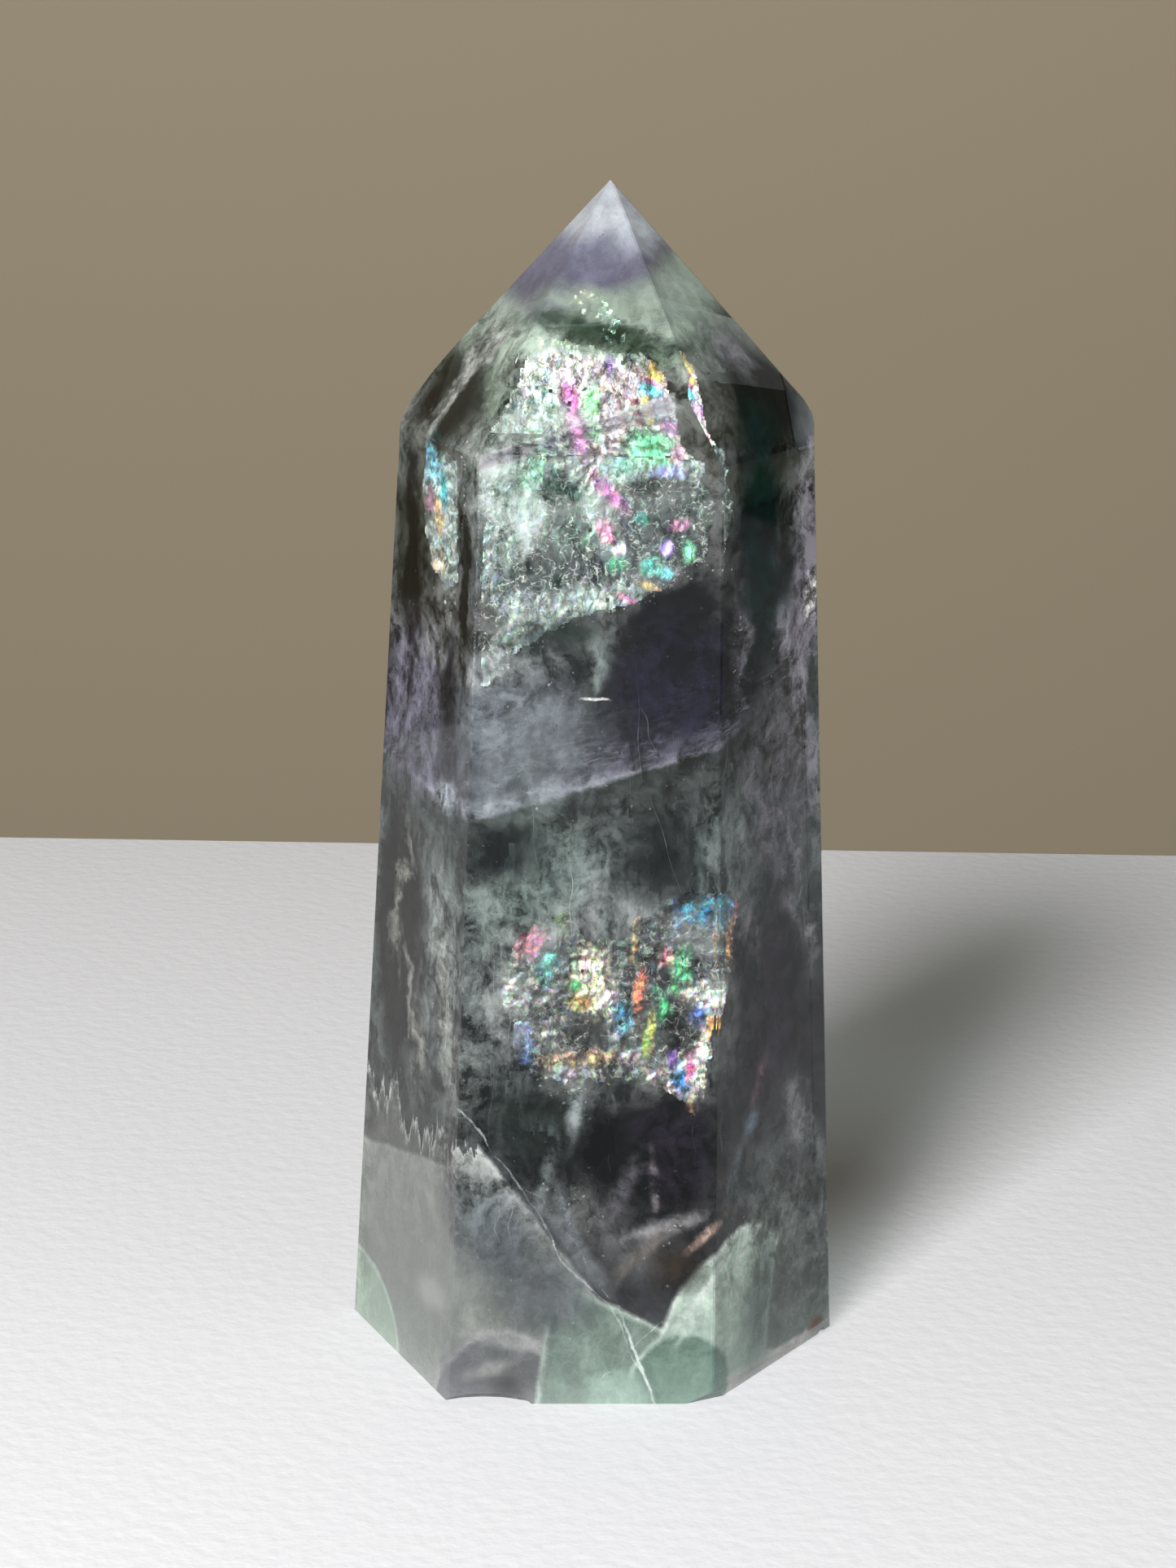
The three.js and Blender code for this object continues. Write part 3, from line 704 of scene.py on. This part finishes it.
def film_hues(material, place, crumbs, hop):
    """The colours of a thin film, which run on as it thickens and jump by hop turns from crumb to crumb."""
    thick = add(material, "TexNoise", {"Vector": place, "Scale": 1 / FILM_GRAIN, "Detail": 2.0})
    shift = add(material, "VectorMath", {0: crumbs, 1: (hop, 0, 0)}, operation="DOT_PRODUCT", out="Value")
    turns = add(material, "Math", {0: thick, 1: FILM_TURNS, 2: shift}, operation="MULTIPLY_ADD")
    turns = add(material, "Math", {0: turns}, operation="FRACT")
    order = add(material, "ValToRGB", {"Fac": turns}).node
    stops = order.color_ramp.elements
    last = len(FILM_ORDER) - 1
    for i in range(1, last):
        stops.new(i / last)
    for i, (stop, hue) in enumerate(zip(stops, FILM_ORDER)):
        stop.position = i / last
        stop.color = linear(hue)
    return order.outputs["Color"]


def painted_film_shade_and_sparkle(material, place, crumbs, darkest, sparkle, shine):
    """How much light the film mirrors, painted into its colour: painted shade in its creases, wrinkles and
    seams, and a painted sparkle that is uneven by crumb.
    """
    crease = add(material, "TexNoise", {"Vector": place, "Scale": 1 / CREASE, "Detail": 5.0})
    span = {"Value": crease, "From Min": 0.36, "From Max": 0.56, "To Min": darkest}
    light = add(material, "MapRange", span)
    wrinkle = contour_lines(material, place, **WRINKLE)
    cells = {"Vector": place, "Scale": 1 / CRUMB_SIZE}
    seam = add(material, "TexVoronoi", cells, feature="DISTANCE_TO_EDGE")
    spark = add(material, "VectorMath", {0: crumbs, 1: (0, 1, 0)}, operation="DOT_PRODUCT", out="Value")
    dull, bright = shine * (1 - sparkle), shine * (1 + sparkle / 2)
    for span in (
        {"Value": wrinkle, "To Min": 0.25},
        {"Value": seam, "From Max": SEAM, "To Min": 0.4},
        {"Value": spark, "To Min": dull, "To Max": bright},
    ):
        share = add(material, "MapRange", span)
        light = add(material, "Math", {0: light, 1: share}, operation="MULTIPLY")
    return light


def air_film(name, ground, patches, rainbow, darkest, gleam, sparkle, hop, shine):
    """An air film along a cleavage crack: it mirrors light like crumpled foil, in rainbow colours where it
    is thin, with painted shade and painted glints for the light on its crumples. ground is its colour between
    the patches, rainbow how strong the colours of a thin film are everywhere, darkest how dark the painted
    shade in its creases gets, and gleam how bright the painted glints along fine lines across them are. Its
    crumbs differ in brightness by sparkle, a painted sparkle, and in colour by hop turns of the film's
    colours. shine is how much of the light all of it mirrors."""
    material = new_material(name)
    place = place_in_stone(material)
    drift = drifting(material, place, **FILM_SWIRL)
    combed = add(material, "Mapping", {"Vector": drift, **FILM_COMB})
    crumbs = add(material, "TexVoronoi", {"Vector": combed, "Scale": 1 / CRUMB_SIZE}, out="Color")

    tint = linear(ground)
    for hue, (x, z), (wide, tall), tilt, soft in patches.values():
        share = cloud(material, drift, (x, 0, z), (wide, ALL_THE_WAY_IN, tall), tilt, soft)
        tint = add(material, "Mix", {0: share, 6: tint, 7: linear(hue)}, data_type="RGBA", out=2)
    hues = film_hues(material, combed, crumbs, hop)
    film = add(material, "Mix", {0: rainbow, 6: linear("#ffffff"), 7: hues}, data_type="RGBA", out=2)
    tint = add(material, "VectorMath", {0: tint, 1: film}, operation="MULTIPLY")
    # painted shade in creases, wrinkles and seams and a painted sparkle by crumb scale the film's colour
    light = painted_film_shade_and_sparkle(material, combed, crumbs, darkest, sparkle, shine)
    colour = add(material, "VectorMath", {0: tint, "Scale": light}, operation="SCALE")
    # painted glints: fine lines mixed towards near-white in the film's colour
    glint = contour_lines(material, drift, **GLINT)
    glint = add(material, "MapRange", {"Value": glint, "To Min": gleam, "To Max": 0.0})
    colour = add(material, "Mix", {0: glint, 6: colour, 7: linear("#fffdf6")}, data_type="RGBA", out=2)

    grain = add(material, "TexNoise", {"Vector": combed, "Scale": 1 / GRIT, "Detail": 4.0})
    bump = add(material, "Bump", {"Height": grain, "Strength": 0.6, "Distance": 0.05 * MM})
    foil = add(
        material, "BsdfPrincipled",
        {
            "Base Color": colour, "Metallic": 0.6, "Roughness": 0.3, "Specular IOR Level": 0.05,
            "Normal": bump,
        },
    )
    add(material, "OutputMaterial", {"Surface": foil})
    return material


# ---- Veils, threads and specks ----

# Cloudy sheets left by healed cracks: centre, facing, width, height.
VEILS = {
    "veil_behind_the_rainbow": ((2.0, -10.8, 35), (0.04, -1, 0.1), 17, 18),
    "veil_under_the_rainbow": ((-2.4, -12.2, 26.0), (0.0, -1, 0.1), 11, 8),
    "veil_middle_left": ((-5.0, -9.5, 40), (0.15, -1, 0.1), 8, 17),
    "veil_middle": ((1.0, -8.5, 42), (-0.1, -1, 0.0), 5, 18),
    "veil_middle_right": ((8.0, -7.5, 44), (0.5, -1, 0.1), 6, 20),
    "veil_right": ((13.0, -3.5, 54), (0.9, -0.5, 0.05), 7, 26),
    "veil_right_low": ((13.5, -4.0, 22), (0.8, -0.6, 0.1), 7, 20),
    "veil_left": ((-13.5, -3.0, 38), (-0.9, -0.5, 0.0), 6, 24),
    "veil_back": ((1.0, 10.5, 45), (0.1, 1, 0.1), 12, 34),
    "veil_back_left": ((-12.0, 5.5, 30), (-0.8, 0.6, 0.0), 7, 26),
    "veil_back_right": ((12.5, 5.0, 36), (0.8, 0.6, 0.1), 8, 30),
    "veil_shoulder": ((5.0, -2.0, 84), (0.4, -0.9, 0.6), 7, 6),
}
VEIL_COVER = 0.75  # how much of what lies behind it the thickest part of a veil hides
VEIL_SWIRL = dict(grain=2.2, reach=0.9)  # mm
VEIL_BILLOW = 3.5  # mm between a veil's thick and thin places


def healed_veil():
    """A healed crack: a cloud of fluid bubbles too small to see apart, which looks like thin smoke combed
    upright."""
    material = new_material("healed_crack_veil")
    place = place_in_stone(material)
    drift = drifting(material, place, **VEIL_SWIRL)
    upright = add(
        material, "Mapping", {"Vector": drift, "Rotation": (0, math.radians(9), 0), "Scale": (1.1, 1.1, 0.14)}
    )
    comb = add(material, "TexNoise", {"Vector": upright, "Scale": 1.0, "Detail": 7.0, "Roughness": 0.66})
    smoke = add(material, "TexNoise", {"Vector": drift, "Scale": 1 / VEIL_BILLOW, "Detail": 4.0})
    cover = VEIL_COVER
    for layer, low, high in ((comb, 0.44, 0.68), (smoke, 0.4, 0.62)):
        span = {"Value": layer, "From Min": low, "From Max": high}
        share = add(material, "MapRange", span)
        cover = add(material, "Math", {0: cover, 1: share}, operation="MULTIPLY")
    veil = add(
        material, "BsdfPrincipled",
        {"Base Color": linear("#dfe2e4"), "Alpha": cover, "Roughness": 0.6, "Specular IOR Level": 0.2},
    )
    add(material, "OutputMaterial", {"Surface": veil})
    return material


def oval(wide, tall, count=18):
    """The outline of an oval sheet, in millimetres."""
    turns = [2 * math.pi * i / count for i in range(count)]
    return [(wide / 2 * math.cos(t), tall / 2 * math.sin(t)) for t in turns]


GROWTH_LEDGE = dict(
    centre=(0, 0, 56.8), facing=(-0.3, -0.234, 1), cell=0.5, crumple=0.5, grain=3,
    outline=[(5.7, -18.4), (16.7, -1.4), (12.6, 12.7), (-5.4, 17.1), (-15.6, 2.4), (-11.2, -14.7)],
)
FOOT_CRACK = dict(
    centre=(-3.1, -16.4, 13.7), facing=(0.8, -0.1, 0.6), cell=0.3, crumple=0.4, grain=2, tear=0.6,
    outline=[(1.3, -15.8), (1.0, 8.0), (8.0, 12.0), (18.0, 9.0), (28.0, 12.0), (30.0, 6.0), (33.8, -15.8)],
)


# Where the threads and specks hang: a side's compass angle, how far in its face lies, and how many of each.
SIDES = [
    dict(compass=-88, face=15.2, threads=9, specks=70),
    dict(compass=-36, face=15.0, threads=14, specks=40),
    dict(compass=26, face=15.0, threads=20, specks=24),
    dict(compass=92, face=14.0, threads=20, specks=24),
    dict(compass=144, face=15.0, threads=20, specks=24),
    dict(compass=-154, face=15.2, threads=18, specks=36),
]
SIDE_LEAN = 0.035  # how far a side leans in for each mm up
FACE_SPARE = 1.2  # mm from where a side's face is given to where depths are measured from
THREAD_ROOM = dict(low=8, high=60, spread=8.5, nearest=1.4, deepest=7)
SPECK_ROOM = dict(low=4, high=84, spread=7.5, nearest=1.0, deepest=6)
TIP_STARTS, TIP_SHARE = 74, 0.6  # above this height specks are drawn in to this share of the way out


def copy_of(model):
    """A copy of the model, with a mesh of its own."""
    copy = model.copy()
    copy.data = model.data.copy()
    bpy.context.collection.objects.link(copy)
    return copy


def joined(name, copies, model):
    """The copies as one piece, with the model they were copied from put away."""
    bpy.ops.object.select_all(action="DESELECT")
    for copy in copies:
        copy.select_set(True)
    bpy.context.view_layer.objects.active = copies[0]
    bpy.ops.object.join()
    piece = bpy.context.object
    piece.name = name
    bpy.ops.object.transform_apply(location=True, rotation=True, scale=True)
    bpy.data.objects.remove(model)
    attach(piece, "root")
    return piece


def scatter(name, model, pick, seed):
    """Copies of model, each at its own picked place, joined. name is also their count in SIDES."""
    draw = random.Random(seed)
    copies = []
    for side in SIDES:
        for _ in range(side[name]):
            copy = copy_of(model)
            pick(copy, draw, math.radians(side["compass"]), side["face"])
            copies.append(copy)
    return joined(name, copies, model)


def hang(copy, draw, compass, face, low, high, spread, nearest, deepest):
    """Hangs a copy under one side's face, at a drawn place."""
    depth = draw.uniform(nearest, deepest)
    out = Vector((math.cos(compass), math.sin(compass), 0))
    across = Vector((-out.y, out.x, 0))
    z = draw.uniform(low, high)
    inward = depth + max(z, 0) * SIDE_LEAN
    aside = across * draw.uniform(-spread, spread)
    copy.location = (out * (face + FACE_SPARE - inward) + aside + Vector((0, 0, z))) * MM


def thread_model():
    """One thread: a thin ribbon, pointed at both ends, 1 mm long and wide before each copy is stretched."""
    bpy.ops.object.select_all(action="DESELECT")
    upright = (math.pi / 2, 0, 0)
    bpy.ops.mesh.primitive_grid_add(x_subdivisions=1, y_subdivisions=14, size=MM, rotation=upright)
    model = bpy.context.object
    bpy.ops.object.transform_apply(location=True, rotation=True, scale=True)
    for vertex in model.data.vertices:
        rise = vertex.co.z / MM
        vertex.co.x *= max(1 - (2 * rise) ** 2, 0.05)
        vertex.co.x += (3.0 * math.sin(5 * rise) + 1.2 * math.sin(13 * rise)) * MM
    return model


def pick_thread(copy, draw, compass, face):
    """Hangs one thread, with a lean, a length and a width of its own."""
    hang(copy, draw, compass, face, **THREAD_ROOM)
    lean = draw.gauss(9, 7)
    copy.rotation_euler = (0, math.radians(-lean), compass + math.pi / 2)
    length = draw.uniform(2.5, 11)
    copy.scale = (draw.uniform(0.04, 0.12), 1, length)


def speck_model():
    """One speck: a bubble or crumb in a healed crack, 1 mm long before each copy is shrunk."""
    bpy.ops.object.select_all(action="DESELECT")
    bpy.ops.mesh.primitive_ico_sphere_add(subdivisions=1, radius=0.5 * MM)
    bpy.ops.object.mode_set(mode="EDIT")
    bpy.ops.transform.resize(value=(1, 0.7, 1.3))
    bpy.ops.object.mode_set(mode="OBJECT")
    return bpy.context.object


def pick_speck(copy, draw, compass, face):
    """Hangs one speck, turned any way and of its own size."""
    hang(copy, draw, compass, face, **SPECK_ROOM)
    if copy.location.z > TIP_STARTS * MM:
        copy.location.x *= TIP_SHARE
        copy.location.y *= TIP_SHARE
    copy.rotation_euler = [draw.uniform(0, math.pi) for _ in range(3)]
    size = draw.uniform(0.1, 0.3)
    copy.scale = (size, size, size)


FROST_GRAIN = 0.8  # mm between white and grey places in the broken crystal


def white_crystal():
    """Broken fluorite in healed cracks: white and matt, with a dull sparkle, like frost on a hair."""
    material = new_material("broken_white_fluorite")
    place = place_in_stone(material)
    frost = add(material, "TexNoise", {"Vector": place, "Scale": 1 / FROST_GRAIN, "Detail": 3.0})
    share = add(material, "MapRange", {"Value": frost, "From Min": 0.4, "From Max": 0.62})
    frosting = {0: share, 6: linear("#8f9698"), 7: linear("#eef0ee")}
    colour = add(material, "Mix", frosting, data_type="RGBA", out=2)
    white = add(material, "BsdfPrincipled", {"Base Color": colour, "Roughness": 0.35, "IOR": FLUORITE_IOR})
    add(material, "OutputMaterial", {"Surface": white})
    return material


# Bright lines where cracks reach the faces, each on a plane just under the front face: points and width.
FRONT_SKIN = dict(centre=(0, -15.25, 32), facing=(0.035, -1, 0.035))
STRANDS = {
    "foot_strand": ([
        (-11.2, -6.4), (-9.5, -8.2), (-8.4, -10.2), (-7.1, -11.6), (-6.1, -13.2), (-4.9, -15), (-4.0, -16.4),
        (-3.3, -18), (-2.7, -19.6), (-1.4, -20.8), (0.1, -22.2), (1.5, -23.6), (2.3, -25), (3.0, -27.4),
        (5.0, -31),
    ], 0.28),
    "foot_strand_upper": ([
        (-6.1, -13.2), (-4.3, -14.0), (-3.4, -16.0), (-1.4, -17.9), (-0.6, -19.8), (0.2, -21.2), (1.3, -22.8),
    ], 0.15),
    "wedge_strand": ([(0.2, -31), (1.2, -29.4), (2.2, -29.0), (2.9, -27.6), (4.9, -25.6), (6.0, -24.6)], 0.2),
}


def strand_outline(line, wide):
    """A narrow outline around a line of points."""
    left, right = [], []
    for i, (x, y) in enumerate(line):
        ax, ay = line[max(i - 1, 0)]
        bx, by = line[min(i + 1, len(line) - 1)]
        long = math.hypot(bx - ax, by - ay)
        half = wide / 2 * (0.85 + 0.3 * math.sin(2.3 * i))
        dx, dy = -(by - ay) / long * half, (bx - ax) / long * half
        left.append((x + dx, y + dy))
        right.append((x - dx, y - dy))
    return left + right[::-1]


# Crumbs of broken crystal strewn along cracks: the plane they lie on, the line across and up that plane,
# and how many.
CRUMBS = {
    "crumbs_under_the_front_crack": (
        FRONT_CRACK,
        [(8.1, -1.5), (6.0, -3.0), (4.5, -4.4), (2.0, -5.5), (-1.5, -6.5), (-3.8, -7.5), (-7.0, -9.9)],
        90,
    ),
    "crumbs_down_the_left_edge": (FRONT_CRACK, [(-9.2, 5.4), (-9.3, 0.5)], 34),
    "crumbs_under_the_gold": (MIDDLE_PLANE, [(-5.0, -8.4), (-3.0, -10.2), (-1.0, -9.6), (0.4, -13.0)], 60),
    "crumbs_in_the_smoke": (FRONT_SKIN, [(0.6, -10.9), (-1.6, -13.7), (-1.0, -15.5), (2.0, -16.1)], 44),
    "crumbs_by_the_strand": (FRONT_SKIN, [(-4.4, -12.2), (-2.4, -14.8), (-1.6, -17.2)], 26),
    "crumbs_on_the_right": (
        dict(centre=(10.6, -11.6, 62), facing=(0.8, -0.6, 0.03)), [(0.1, 3.6), (-0.6, 0.0), (0.4, -3.4)], 40,
    ),
    "crumbs_by_the_tongue": (FRONT_SKIN, [(4.6, -19.5), (7.0, -16.8), (9.0, -15.5)], 20),
}


STREWN_WIDE, STREWN_DEEP = 0.32, 0.15  # mm off the line and off the plane
SMALLEST_CRUMB, CRUMB_GROWTH = 0.06, 0.24  # mm; most crumbs are near the smallest


def strewn_crumbs(name, plane, line, count, seed):
    """Crumbs of different sizes along a line on a plane, joined into one piece."""
    draw = random.Random(seed)
    turn = facing_turn(plane["facing"])
    model = speck_model()
    copies = []
    for _ in range(count):
        i = draw.randrange(len(line) - 1)
        across, up = Vector(line[i]).lerp(Vector(line[i + 1]), draw.random())
        across += draw.gauss(0, STREWN_WIDE)
        up += draw.gauss(0, STREWN_WIDE)
        spot = Vector((across, up, draw.uniform(-STREWN_DEEP, STREWN_DEEP)))
        copy = copy_of(model)
        copy.location = (Vector(plane["centre"]) + turn @ spot) * MM
        copy.rotation_euler = [draw.uniform(0, math.pi) for _ in range(3)]
        size = SMALLEST_CRUMB + CRUMB_GROWTH * draw.random() ** 3
        copy.scale = (size, size, size)
        copies.append(copy)
    return joined(name, copies, model)


# ---- Table, backdrop and lights ----

TABLE_SIZE, WALL_SIZE = 3, 6  # m
TABLE_EDGE, WALL_AT = 147, 600  # mm behind the stone
TABLE_DIMPLES = 1.6  # mm across


def set_stage():
    """A table, painted pale with a finely dimpled coat, and a plain matt wall behind it."""
    material = new_material("pale_painted_table")
    place = place_in_stone(material)
    dimples = add(material, "TexNoise", {"Vector": place, "Scale": 1 / TABLE_DIMPLES, "Detail": 3.0})
    bump = add(material, "Bump", {"Height": dimples, "Strength": 0.35, "Distance": 0.3 * MM})
    coat = {"Base Color": linear("#d2d2d4"), "Roughness": 0.8, "Normal": bump}
    add(material, "OutputMaterial", {"Surface": add(material, "BsdfPrincipled", coat)})
    wall_material = new_material("taupe_wall")
    paint = add(wall_material, "BsdfPrincipled", {"Base Color": linear("#aa9d84"), "Roughness": 0.9})
    add(wall_material, "OutputMaterial", {"Surface": paint})
    bpy.ops.object.select_all(action="DESELECT")
    bpy.ops.mesh.primitive_plane_add(size=TABLE_SIZE, location=(0, TABLE_EDGE * MM - TABLE_SIZE / 2, 0))
    table = bpy.context.object
    table.name = "table"
    table.data.materials.append(material)
    upright = (math.pi / 2, 0, 0)
    bpy.ops.mesh.primitive_plane_add(size=WALL_SIZE, location=(0, WALL_AT * MM, 0), rotation=upright)
    wall = bpy.context.object
    wall.name = "wall"
    wall.data.materials.append(wall_material)


LAMPS_AIM = Vector((0, 0, 45))


def add_lamp(name, at, size, watts):
    bpy.ops.object.light_add(type="AREA", location=Vector(at) * MM)
    lamp = bpy.context.object
    lamp.name = name
    lamp.data.size = size * MM
    lamp.data.energy = watts
    aim = LAMPS_AIM - Vector(at)
    lamp.rotation_euler = aim.to_track_quat("-Z", "Y").to_euler()


def set_lights():
    """A window's light from the upper left, in a dim grey room."""
    world = bpy.data.worlds.new("studio")
    bpy.context.scene.world = world
    world.use_nodes = True
    room = world.node_tree.nodes["Background"]
    room.inputs["Color"].default_value = linear("#a6a6a8")
    room.inputs["Strength"].default_value = 0.17
    add_lamp("window", at=(-235, -540, 430), size=170, watts=10)
    add_lamp("fill", at=(500, -400, 250), size=400, watts=0.4)


set_camera()
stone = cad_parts["fluorite_point"]
stone.data.materials.clear()
stone.data.materials.append(polished_fluorite())
silver = air_film(
    "silver_air_film", "#a2b0ae", SILVER_COLOURS,
    rainbow=0.4, darkest=0.36, gleam=0.14, sparkle=0.5, hop=0.3, shine=0.68,
)
rainbow = air_film(
    "rainbow_air_film", "#474c4c", RAINBOW_COLOURS,
    rainbow=0.6, darkest=0.12, gleam=0.11, sparkle=0.6, hop=0.8, shine=0.95,
)
for name, shape in SILVER_CRACKS.items():
    crack_sheet(name, **shape).data.materials.append(silver)
crack_sheet("rainbow_crack", **MIDDLE_PLANE, outline=MIDDLE_OUTLINE, tear=0.4).data.materials.append(rainbow)
for name, shape in OTHER_FILMS.items():
    crack_sheet(name, **shape, cell=0.13, tear=0.5, holes=-0.15).data.materials.append(silver)

smoke = healed_veil()
for name, (centre, facing, wide, tall) in VEILS.items():
    veil = crack_sheet(name, centre, facing, oval(wide, tall), cell=0.4, tear=1.5, crumple=1.2, grain=5)
    veil.data.materials.append(smoke)
crack_sheet("growth_ledge", **GROWTH_LEDGE).data.materials.append(smoke)
crack_sheet("foot_crack", **FOOT_CRACK).data.materials.append(smoke)

white = white_crystal()
scatter("threads", thread_model(), pick_thread, seed=5).data.materials.append(white)
scatter("specks", speck_model(), pick_speck, seed=8).data.materials.append(white)
for seed, (name, (plane, line, count)) in enumerate(CRUMBS.items()):
    strewn_crumbs(name, plane, line, count, seed).data.materials.append(white)
for name, (line, wide) in STRANDS.items():
    strand = crack_sheet(
        name, outline=strand_outline(line, wide), **FRONT_SKIN, cell=0.08, tear=0.12, crumple=0.1
    )
    strand.data.materials.append(white)
set_stage()
set_lights()

scene = bpy.context.scene
scene.view_settings.view_transform = "Standard"
scene.cycles.max_bounces = 10
scene.cycles.transmission_bounces = 8
scene.cycles.transparent_max_bounces = 12
scene.cycles.caustics_reflective = False
scene.cycles.caustics_refractive = False
